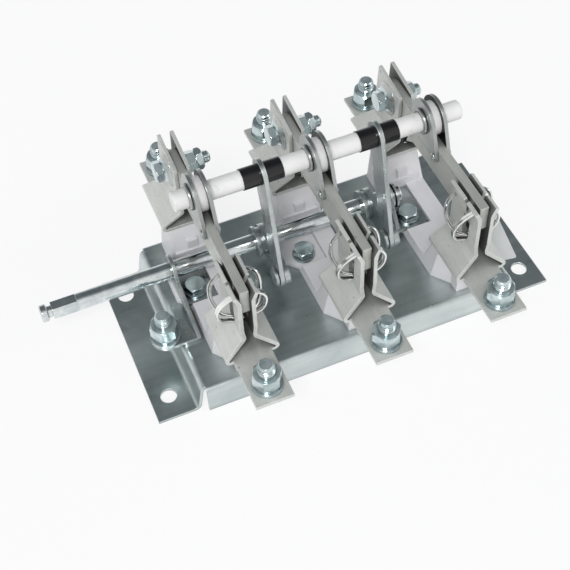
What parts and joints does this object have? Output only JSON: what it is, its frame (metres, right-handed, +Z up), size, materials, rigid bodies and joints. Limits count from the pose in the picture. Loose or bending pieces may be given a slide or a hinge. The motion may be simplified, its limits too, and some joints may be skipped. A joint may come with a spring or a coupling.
{
  "type": "knife disconnector switch",
  "caption": "Open low-voltage knife disconnector: hinged blades between sprung jaws on moulded insulators over a folded base, opened together by a side drive shaft and links.",
  "frame": {"origin": "centre of the four mounting holes, on the mounting plane under the base flanges", "axes": "+X along the drive shaft away from its driven end, +Y to the hinge side, +Z up from the mounting plane"},
  "size_m": [0.3375, 0.224, 0.137],
  "materials": {
    "base_zinc": "galvanised sheet",
    "insulator": "light grey moulded plastic",
    "contact": "tinned strip",
    "blade": "tinned strip",
    "ear_steel": "steel plate",
    "rod_white": "white insulating rod",
    "sleeve_black": "black sleeve",
    "link_zinc": "zinc-plated steel",
    "shaft_zinc": "bright zinc",
    "bolt_zinc": "bright zinc",
    "spring_steel": "bright spring wire"
  },
  "bodies": {
    "frame": {"base_plate": "base_zinc", "bracket_left": "link_zinc", "bracket_right": "link_zinc", "clamp_bolt_left": "bolt_zinc", "clamp_bolt_middle": "bolt_zinc", "clamp_bolt_right": "bolt_zinc", "earth_bolt": "bolt_zinc", "front_terminal_bolt_left": "bolt_zinc", "front_terminal_bolt_middle": "bolt_zinc", "front_terminal_bolt_right": "bolt_zinc", "hinge_bolt_left": "bolt_zinc", "hinge_bolt_middle": "bolt_zinc", "hinge_bolt_right": "bolt_zinc", "hinge_contact_left": "contact", "hinge_contact_middle": "contact", "hinge_contact_right": "contact", "insulator_left": "insulator", "insulator_middle": "insulator", "insulator_right": "insulator", "jaw_left": "contact", "jaw_middle": "contact", "jaw_right": "contact", "jaw_springs": "spring_steel", "rear_terminal_bolt_left": "bolt_zinc", "rear_terminal_bolt_middle": "bolt_zinc", "rear_terminal_bolt_right": "bolt_zinc"},
    "shaft": {"lever_left": "link_zinc", "lever_right": "link_zinc", "shaft": "shaft_zinc", "shaft_rings": "shaft_zinc"},
    "blades": {"blade_left": "blade", "blade_middle": "blade", "blade_right": "blade", "collar_left": "rod_white", "collar_middle": "rod_white", "collar_right": "rod_white", "ears_left": "ear_steel", "ears_middle": "ear_steel", "ears_right": "ear_steel", "rod": "rod_white", "sleeve_left": "sleeve_black", "sleeve_right": "sleeve_black"},
    "link_left": {"link_left": "link_zinc"},
    "link_right": {"link_right": "link_zinc"}
  },
  "joints": [
    {"name": "shaft_turn", "type": "hinge", "parent": "frame", "child": "shaft", "pos_m": [0, 0.023, 0.041], "axis": [-1, 0, 0], "range_deg": [0, 60]},
    {"name": "blade_swing", "type": "hinge", "parent": "frame", "child": "blades", "pos_m": [0, 0.057, 0.1005], "axis": [-1, 0, 0], "range_deg": [0, 45]},
    {"name": "link_left_swing", "type": "hinge", "parent": "blades", "child": "link_left", "pos_m": [-0.038, 0.008, 0.122], "axis": [-1, 0, 0], "range_deg": [-39.6, 0]},
    {"name": "link_right_swing", "type": "hinge", "parent": "blades", "child": "link_right", "pos_m": [0.042, 0.008, 0.122], "axis": [-1, 0, 0], "range_deg": [-39.6, 0]}
  ],
  "couplings": [
    {"joint": "blade_swing", "follows": "shaft_turn", "ratio": 0.75},
    {"joint": "link_left_swing", "follows": "shaft_turn", "ratio": -0.66},
    {"joint": "link_right_swing", "follows": "shaft_turn", "ratio": -0.66}
  ]
}
